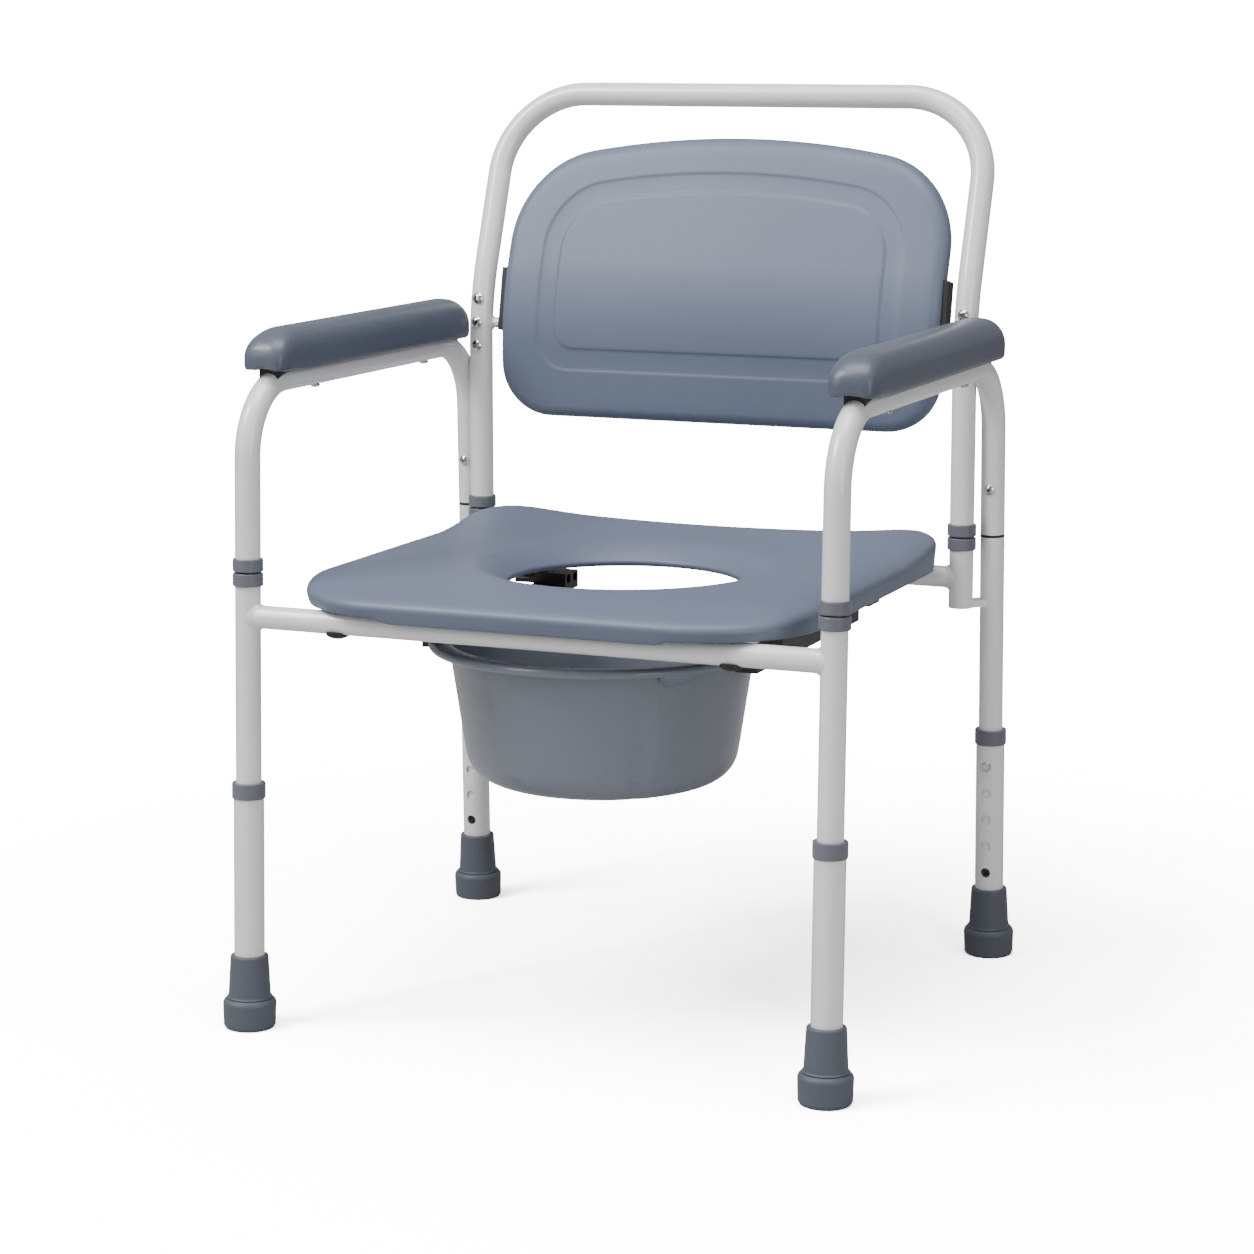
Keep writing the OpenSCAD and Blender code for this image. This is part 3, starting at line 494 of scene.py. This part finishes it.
def build_seat():
    """The moulded seat: one closed skin, hollow below, with a round opening."""
    steps = 8
    face = [face_ring(1 - i / steps) for i in range(steps + 1)]
    rings = seat_underside() + seat_outside() + face + seat_funnel()
    verts, faces = loft(rings, close_rings=True)
    add_mesh("seat_shell", verts, turned(faces), MATERIALS["moulded_plastic"], "frame",
             ("seat",))


build_seat()

# ------------------------------------------------------------------ backrest panel

PANEL_HALF = PANEL_HIGH.x
PANEL_FOOT = PANEL_LOW.z
PANEL_TOP = PANEL_HIGH.z
PANEL_MID_Z = 632 * MM
# Set-back of the front face and of the rear rim from the hoop's axis
PANEL_FRONT = -10 * MM
PANEL_REAR = 10 * MM
PLATE_INSET = 42 * MM

# Outlines: half width, foot, top, radius of the lower corners, of the upper corners, of the crown
FIRST_STEP = (178.5 * MM, 537 * MM, 722 * MM, 30 * MM, 62 * MM, 800 * MM)
SECOND_STEP = (161 * MM, 557 * MM, 704.5 * MM, 19 * MM, 47 * MM, 790 * MM)
PLATE = (PANEL_HALF - PLATE_INSET, PANEL_FOOT + PLATE_INSET, PANEL_TOP - PLATE_INSET,
         10 * MM, 46 * MM, 780 * MM)

# The front face's two steps, inwards: (distance outside the step's outline, set-back), mm
FIRST_PROFILE = [(2.6, 0.0), (1.8, 0.05), (1.1, 0.2), (0.4, 0.42), (-0.3, 0.62), (-1.2, 0.76), (-2.6, 0.8)]
SECOND_PROFILE = [(1.8, 0.78), (1.1, 0.66), (0.4, 0.36), (-0.3, 0.02), (-1.2, -0.16), (-2.6, -0.2)]


def on_back(x, z, depth):
    """A point of the panel: z is its height seen from the front, depth its set-back from the hoop's axis."""
    r = BEND_R - depth
    rise = r * math.sin(LEAN)
    up = z - BEND_Z
    if up <= 0:
        return Vector((x, HOOP_Y + depth, z))
    if up <= rise:
        return Vector((x, HOOP_Y + BEND_R - math.sqrt(r * r - up * up), z))
    return Vector((x, HOOP_Y + BEND_R - r * math.cos(LEAN) + math.tan(LEAN) * (up - rise), z))


def panel_outline(half, low, high, low_r, high_r, crown_r):
    """Closed outline (x, z): straight foot and sides, round corners, crowned top, meeting smoothly."""
    crown_z = high - crown_r
    cx = half - high_r
    cz = crown_z + math.sqrt((crown_r - high_r) ** 2 - cx * cx)
    meet = math.degrees(math.atan2(cz - crown_z, cx))
    right = []
    right += line_points((0, low), (half - low_r, low), 16)
    right += arc_points(half - low_r, low + low_r, low_r, -90, 0, 14)
    right += line_points((half, low + low_r), (half, cz), 16)[1:]
    right += arc_points(half - high_r, cz, high_r, 0, meet, 20)
    right += arc_points(0, crown_z, crown_r, meet, 90, 14)[1:]
    left = [(-x, z) for x, z in reversed(right[1:-1])]
    return right + left


def panel_ring(inset, depth):
    """Ring along the panel's own outline, drawn in by an inset."""
    outline = panel_outline(PANEL_HALF - inset, PANEL_FOOT + inset, PANEL_TOP - inset,
                            50 * MM - inset * 0.9, 88 * MM - inset, 830 * MM - inset)
    return [on_back(x, z, depth) for x, z in outline]


def step_outline(step, by):
    """Outline of one of the front face's steps, made larger all round."""
    half, low, high, low_r, high_r, crown_r = step
    return panel_outline(half + by, low - by, high + by, low_r + by, high_r + by, crown_r + by)


def step_ring(step, by, depth):
    """Ring along a step's outline, made larger all round."""
    return [on_back(x, z, depth) for x, z in step_outline(step, by)]


def shrunk_ring(outline, share, depth):
    """An outline drawn smaller towards the middle of the face."""
    return [on_back(x * share, PANEL_MID_Z + (z - PANEL_MID_Z) * share, depth) for x, z in outline]


def blend_rings(a, b, t):
    """Ring part of the way from one ring to another."""
    return [p.lerp(q, t) for p, q in zip(a, b)]


def panel_back_and_edge():
    """Rings of the open back (plate, inner wall, rear rim) and of the rolled edge up to the front face."""
    profile = [(42, PANEL_FRONT + 4 * MM), (20, PANEL_FRONT + 4 * MM), (7, PANEL_FRONT + 4.5 * MM),
               (4.6, PANEL_FRONT + 7 * MM), (4.0, PANEL_REAR - 1 * MM), (3.4, PANEL_REAR - 0.1 * MM),
               (2.4, PANEL_REAR), (0.9, PANEL_REAR - 0.3 * MM), (0.2, PANEL_REAR - 1.6 * MM),
               (0.0, PANEL_REAR - 4 * MM)]
    rings = [panel_ring(inset * MM, depth) for inset, depth in profile]
    roll_in, roll_deep = 11 * MM, 9 * MM
    steps = 10
    for i in range(steps + 1):
        a = math.pi / 2 * i / steps
        rings.append(panel_ring(roll_in * (1 - math.cos(a)), PANEL_FRONT + roll_deep * (1 - math.sin(a))))
    return rings


def panel_face():
    """Rings of the front face: border band, raised line, sunk band, second step and the plain field."""
    border = panel_ring(16 * MM, PANEL_FRONT - 0.1 * MM)
    edge = step_ring(FIRST_STEP, 4.0 * MM, PANEL_FRONT - 0.1 * MM)
    rings = [border, blend_rings(border, edge, 0.35), blend_rings(border, edge, 0.7), edge]
    rings += [step_ring(FIRST_STEP, by * MM, PANEL_FRONT + (depth - 0.1) * MM) for by, depth in FIRST_PROFILE]
    band_outer = step_ring(FIRST_STEP, -4.0 * MM, PANEL_FRONT + 0.8 * MM)
    band_inner = step_ring(SECOND_STEP, 3.0 * MM, PANEL_FRONT + 0.8 * MM)
    rings += [band_outer, blend_rings(band_outer, band_inner, 0.5), band_inner]
    rings += [step_ring(SECOND_STEP, by * MM, PANEL_FRONT + depth * MM) for by, depth in SECOND_PROFILE]
    rings.append(step_ring(SECOND_STEP, -6.0 * MM, PANEL_FRONT - 0.2 * MM))
    field = step_outline(SECOND_STEP, -6 * MM)
    for share in (0.85, 0.7, 0.55, 0.4, 0.25, 0.12, 0.04):
        rings.append(shrunk_ring(field, share, PANEL_FRONT - 0.2 * MM))
    return rings


def build_panel():
    """The moulded back panel: an open-backed shell, closed behind by a plate."""
    rings = panel_back_and_edge() + panel_face()
    verts, faces = loft(rings, cap_end=True)
    outline = panel_outline(*PLATE)
    plate_rings = [rings[0]]
    for share in (0.8, 0.6, 0.4, 0.2, 0.05):
        plate_rings.append(shrunk_ring(outline, share, PANEL_FRONT + 4 * MM))
    plate_verts, plate_faces = loft(plate_rings, cap_end=True)
    offset = len(verts)
    faces += turned([tuple(offset + i for i in face) for face in plate_faces])
    add_mesh("back_panel_shell", verts + plate_verts, faces, MATERIALS["moulded_plastic"], "back",
             ("backrest_panel",))


build_panel()

# ------------------------------------------------------------------ arm pads

PAD_FOOT_Z = 563.8 * MM
PAD_NOSE = 42 * MM
PAD_TAIL = 34 * MM
PAD_LIP = 2.6 * MM
PAD_GROOVE_R = TUBE_R + 3 * MM
PAD_POINTS = 96


def rounded_fall(distance, radius):
    """How far a quarter-round end falls at a distance from its tip, as a share of its radius."""
    t = max(1 - distance / radius, 0.0)
    return 1 - math.sqrt(max(1 - t * t, 0.0))


def pad_section(x_mid, y, width, crest, foot, arch, groove):
    """Closed ring of the pad: crowned top, nearly upright sides, underside arched over the tube."""
    ring = []
    shoulder = mix(foot, crest, 0.42)
    for k in range(PAD_POINTS):
        a = 2 * math.pi * k / PAD_POINTS + math.pi / 2
        c, s = math.cos(a), math.sin(a)
        # Superellipses: a soft crown above the shoulder, a squarer shape with a slight taper below it
        if s >= 0:
            x = width * math.copysign(abs(c) ** (2 / 2.7), c)
            z = shoulder + (crest - shoulder) * abs(s) ** (2 / 2.3)
        else:
            x = width * math.copysign(abs(c) ** (2 / 7.0), c) * (1 - 0.03 * s * s)
            z = shoulder - (shoulder - foot) * abs(s) ** (2 / 5.0)
            z += arch * max(1 - (x / width) ** 2, 0.0)
            z += groove * math.sqrt(max(1 - (x / PAD_GROOVE_R) ** 2, 0.0))
        ring.append(Vector((x_mid + x, y, z)))
    return ring


def pad_stations(length):
    """Places along the pad, closer together in its rounded nose and tail."""
    nose_steps, body_steps, tail_steps = 22, 20, 16
    stations = [PAD_NOSE * (1 - math.cos(math.pi / 2 * i / nose_steps)) for i in range(nose_steps + 1)]
    stations += [mix(PAD_NOSE, length - PAD_TAIL, i / body_steps) for i in range(1, body_steps)]
    for i in range(tail_steps + 1):
        stations.append(length - PAD_TAIL * (1 - math.sin(math.pi / 2 * i / tail_steps)))
    return stations


def build_arm_pad(side_name):
    """One padded arm cover, with a round nose and tail and a lip that turns in."""
    low, high, mid = node_box("arm_pad_" + side_name)
    length = high.y - low.y
    half = (high.x - low.x) / 2
    rings = []
    for s in pad_stations(length):
        behind = length - s
        crest = high.z - 24 * MM * rounded_fall(s, PAD_NOSE) - 21 * MM * rounded_fall(behind, 28 * MM)
        width = half - 10.5 * MM * rounded_fall(s, 17 * MM) - 9 * MM * rounded_fall(behind, 11 * MM)
        # The lip at both ends turns in on a small round
        edge = PAD_LIP * (rounded_fall(s, PAD_LIP) + rounded_fall(behind, PAD_LIP))
        foot = PAD_FOOT_Z + 2.2 * MM * smoothstep(s, 60 * MM, 12 * MM) + edge
        deep = smoothstep(s, 3 * MM, 16 * MM)
        arch = 3.4 * MM * (1 - deep)
        rings.append(pad_section(mid.x, low.y + s, width - edge, crest - edge, foot, arch, 7.2 * MM * deep))
    verts, faces = loft(rings, cap_start=True, cap_end=True)
    piece = add_mesh("arm_pad_cover_" + side_name, verts, faces, MATERIALS["soft_grey"], "frame",
                     ("arm_pad_" + side_name,))


for side_name in SIDES:
    build_arm_pad(side_name)

# ------------------------------------------------------------------ pail

PAIL_RIM_R = (PAIL_HIGH.x - PAIL_LOW.x) / 2
PAIL_BODY_R = PAIL_RIM_R - 19 * MM
PAIL_FOOT_R = 91 * MM
PAIL_FOOT_ROUND = 28 * MM
PAIL_WALL = 2.6 * MM
PAIL_AXIS_R = 0.03 * MM
PAIL_POINTS = 192
CREASE_ANGLE = math.radians(-52)
GRIP_ANGLE = math.radians(-37)
GRIP_SPAN = math.radians(19)


def plain(points):
    """Profile points that the crease doesn't touch."""
    return [(x, z, 0.0) for x, z in points]


def pail_inside():
    """Profile of the inner face, from the floor's middle to the mouth."""
    top, low = PAIL_HIGH.z, PAIL_LOW.z
    foot_round = arc_points(PAIL_FOOT_R, low + PAIL_FOOT_ROUND, PAIL_FOOT_ROUND - PAIL_WALL, -90, -8, 10)
    out = plain([(PAIL_AXIS_R, low + PAIL_WALL), (40 * MM, low + PAIL_WALL)])
    out += [(x, z, 0.6) for x, z in foot_round]
    for t in (0.25, 0.5, 0.75, 1.0):
        r = mix(PAIL_FOOT_R + PAIL_FOOT_ROUND, PAIL_BODY_R, t) - PAIL_WALL - 0.4 * MM
        z = mix(low + PAIL_FOOT_ROUND - 3 * MM, top - 14 * MM, t)
        out.append((r, z, 1 - t * 0.8))
    out += plain(arc_points(PAIL_BODY_R + 3 * MM, top - 6.4 * MM, 5.6 * MM, 180, 95, 7))
    return out


def pail_rim():
    """Profile of the rim: flat land, rolled outer edge, turned-down lip."""
    top = PAIL_HIGH.z
    out = plain(arc_points(PAIL_RIM_R - 4.2 * MM, top - 4.2 * MM, 4.2 * MM, 85, -60, 12))
    out += plain([(PAIL_RIM_R - 3.4 * MM, top - 8.0 * MM), (PAIL_RIM_R - 5.0 * MM, top - 7.2 * MM)])
    out += plain(arc_points(PAIL_BODY_R + 3.4 * MM, top - 9.6 * MM, 3.2 * MM, 90, 176, 6))
    return out


def pail_outside():
    """Profile of the outer face, from under the rim to the middle of the raised floor."""
    top, low = PAIL_HIGH.z, PAIL_LOW.z
    out = []
    for t in (0.97, 0.9, 0.8, 0.65, 0.5, 0.35, 0.2, 0.08):
        r = mix(PAIL_FOOT_R + PAIL_FOOT_ROUND, PAIL_BODY_R, t)
        out.append((r, mix(low + PAIL_FOOT_ROUND - 3.9 * MM, top - 14 * MM, t), 1.0))
    foot_round = arc_points(PAIL_FOOT_R, low + PAIL_FOOT_ROUND, PAIL_FOOT_ROUND, -8, -90, 14)
    out += [(x, z, 0.8) for x, z in foot_round]
    raised = low + 1.2 * MM
    out += plain([(60 * MM, low), (56 * MM, raised), (30 * MM, raised), (PAIL_AXIS_R, raised)])
    return out


def on_pail(r, angle, z):
    """A point at a distance from the pail's axis."""
    return Vector((PAIL_MID.x + r * math.cos(angle), PAIL_MID.y + r * math.sin(angle), z))


def crease_depth(angle, crease):
    """How far the wall goes in at its upright crease, with the low ridge beside it."""
    away = math.atan2(math.sin(angle - CREASE_ANGLE), math.cos(angle - CREASE_ANGLE))
    dent = 1.6 * MM * crease * math.exp(-((away / 0.05) ** 2))
    ridge = 0.5 * MM * crease * math.exp(-(((away - 0.12) / 0.06) ** 2))
    return dent - ridge


def build_pail():
    """The pail: one skin turned round its axis, with an upright crease in the wall."""
    rings = []
    for radius, height, crease in pail_inside() + pail_rim() + pail_outside():
        ring = []
        for k in range(PAIL_POINTS):
            a = 2 * math.pi * k / PAIL_POINTS
            ring.append(on_pail(radius - crease_depth(a, crease), a, height))
        rings.append(ring)
    verts, faces = loft(rings)
    add_mesh("pail_shell", verts, turned(faces), PAIL_MATERIAL, "pail", ("pail",))


def build_pail_grip():
    """Finger grip under the rim: a curved wedge, open on one side, with a thin lip."""
    top = PAIL_HIGH.z - 7 * MM
    outer = PAIL_RIM_R - 3 * MM
    inner = PAIL_RIM_R - 20.5 * MM
    steps = 18
    rings = []
    for i in range(steps + 1):
        t = i / steps
        a = GRIP_ANGLE - GRIP_SPAN / 2 + GRIP_SPAN * t
        ends = math.sin(math.pi * min(max(t, 0.02), 0.98)) ** 0.35
        drop = 17 * MM * (0.35 + 0.65 * (1 - t)) * ends
        section = [
            (outer, top),
            (outer - 0.6 * MM, top - 1.6 * MM),
            (mix(outer, inner + 3 * MM, 0.7), top - drop * 0.75),
            (inner + 3.4 * MM, top - drop),
            (inner + 1.2 * MM, top - drop - 0.4 * MM),
            (inner, top - drop),
            (inner, top),
        ]
        rings.append([on_pail(r, a, z) for r, z in section])
    verts, faces = loft(rings, cap_start=True, cap_end=True)
    add_mesh("pail_finger_grip", verts, faces, PAIL_MATERIAL, "pail")


build_pail()
build_pail_grip()

# ------------------------------------------------------------------ weld fillets

WELD_STEPS = 10
WELD_POINTS = 64


def build_weld(name, centre, axis, up, bar_r, upright_r, flare, body):
    """A weld bead that flares from a round bar onto the wall of the upright tube it butts against."""
    centre, axis, up = Vector(centre), Vector(axis), Vector(up)
    beside = axis.cross(up)
    # Where the bar is as wide as the upright, the bead stays on the upright's wall
    widest = max(bar_r + 0.15 * MM, upright_r - 0.5 * MM)
    rings = []
    for i in range(WELD_STEPS + 1):
        t = math.pi / 2 * i / WELD_STEPS
        r = bar_r + flare * (1 - math.sin(t)) + 0.1 * MM
        away = 1.4 * flare * (1 - math.cos(t)) - 0.4 * MM
        ring = []
        for k in range(WELD_POINTS):
            a = 2 * math.pi * k / WELD_POINTS
            ripple = 1 + 0.010 * math.sin(a * 14 + i * 0.7)
            rise = r * ripple * math.sin(a)
            across = min(r, widest) * math.cos(a)
            stand = math.sqrt(max(upright_r ** 2 - across ** 2, 0.0))
            ring.append(centre + up * rise + beside * across + axis * (stand + away))
        rings.append(ring)
    verts, faces = loft(rings)
    add_mesh(name, verts, faces, MATERIALS["powder_coat"], body)


def build_side_welds(side_name, side):
    """The four weld beads that show on one side of the chair."""
    inward, rearward = (-side, 0, 0), (0, 1, 0)
    upward, sideways = (0, 0, 1), (1, 0, 0)
    build_weld("weld_crossbar_" + side_name, (side * POST_X, FRONT_Y, BAR_Z), inward, upward,
               RAIL_R, TUBE_R, 3.6 * MM, "frame")
    build_weld("weld_receiver_" + side_name, (side * HOOP_X, HOOP_Y, BAR_Z), inward, upward,
               RAIL_R, TUBE_R, 3.6 * MM, "frame")
    build_weld("weld_rail_front_" + side_name, (side * RAIL_X, FRONT_Y, BAR_Z), rearward, sideways,
               RAIL_R, RAIL_R + 0.2 * MM, 2.4 * MM, "frame")
    build_weld("weld_back_bar_" + side_name, (side * HOOP_X, BACK_BAR_MID.y, BACK_BAR_MID.z), inward, upward,
               BACK_BAR_R, TUBE_R - 0.5 * MM, 2.0 * MM, "back")


for side_name, side in SIDES.items():
    build_side_welds(side_name, side)

# ------------------------------------------------------------------ studio

FLOOR_REACH = 40.0
LIGHTS_AIM = (0, 0, 0.42)


def add_floor():
    """A wide white floor at z = 0."""
    reach = FLOOR_REACH
    corners = [(-reach, -reach, 0), (reach, -reach, 0), (reach, reach, 0), (-reach, reach, 0)]
    mesh = bpy.data.meshes.new("studio_floor")
    mesh.from_pydata(corners, [], [(0, 1, 2, 3)])
    floor = bpy.data.objects.new("studio_floor", mesh)
    bpy.context.scene.collection.objects.link(floor)
    mesh.materials.append(floor_material())


def add_area_light(name, place, size, power):
    """A white soft box that faces the chair. Size is (width, height) in metres, power in watts."""
    data = bpy.data.lights.new(name, "AREA")
    data.shape = "RECTANGLE"
    data.size, data.size_y = size
    data.energy = power
    light = bpy.data.objects.new(name, data)
    light.location = place
    light.rotation_euler = (Vector(LIGHTS_AIM) - Vector(place)).to_track_quat("-Z", "Y").to_euler()
    bpy.context.scene.collection.objects.link(light)


def add_world(light, backdrop):
    """White surroundings: one strength lights the chair, and a brighter one is the backdrop."""
    world = bpy.data.worlds.new("studio")
    world.use_nodes = True
    nodes, links = world.node_tree.nodes, world.node_tree.links
    lit = nodes["Background"]
    lit.inputs["Color"].default_value = (1, 1, 1, 1)
    lit.inputs["Strength"].default_value = light
    seen = nodes.new("ShaderNodeBackground")
    seen.inputs["Color"].default_value = (1, 1, 1, 1)
    seen.inputs["Strength"].default_value = backdrop
    camera_or_light(nodes, links, seen.outputs["Background"], lit.outputs["Background"],
                    nodes["World Output"].inputs["Surface"])
    bpy.context.scene.world = world


def add_camera():
    """The camera, 22.7 degrees round from the front towards +X and looking 9.2 degrees down."""
    data = bpy.data.cameras.new("camera")
    data.sensor_width = 36
    data.lens = 92.48
    data.shift_y = -0.06
    data.clip_end = 200
    camera = bpy.data.objects.new("camera", data)
    camera.location = (1.0789, -2.6124, 0.8573)
    camera.rotation_euler = (math.radians(90 - 9.247), 0, math.radians(22.666))
    bpy.context.scene.collection.objects.link(camera)
    bpy.context.scene.camera = camera


add_floor()
add_world(0.345, BACKDROP)
add_area_light("key", (-1.7, -1.6, 2.9), (1.3, 1.3), 90)
add_area_light("strip", (-1.5, -2.2, 1.7), (0.16, 1.6), 11.5)
add_area_light("fill", (2.4, -1.7, 1.1), (1.0, 1.6), 19.5)
add_area_light("top", (0.1, -0.4, 2.9), (1.8, 1.4), 53)
add_camera()
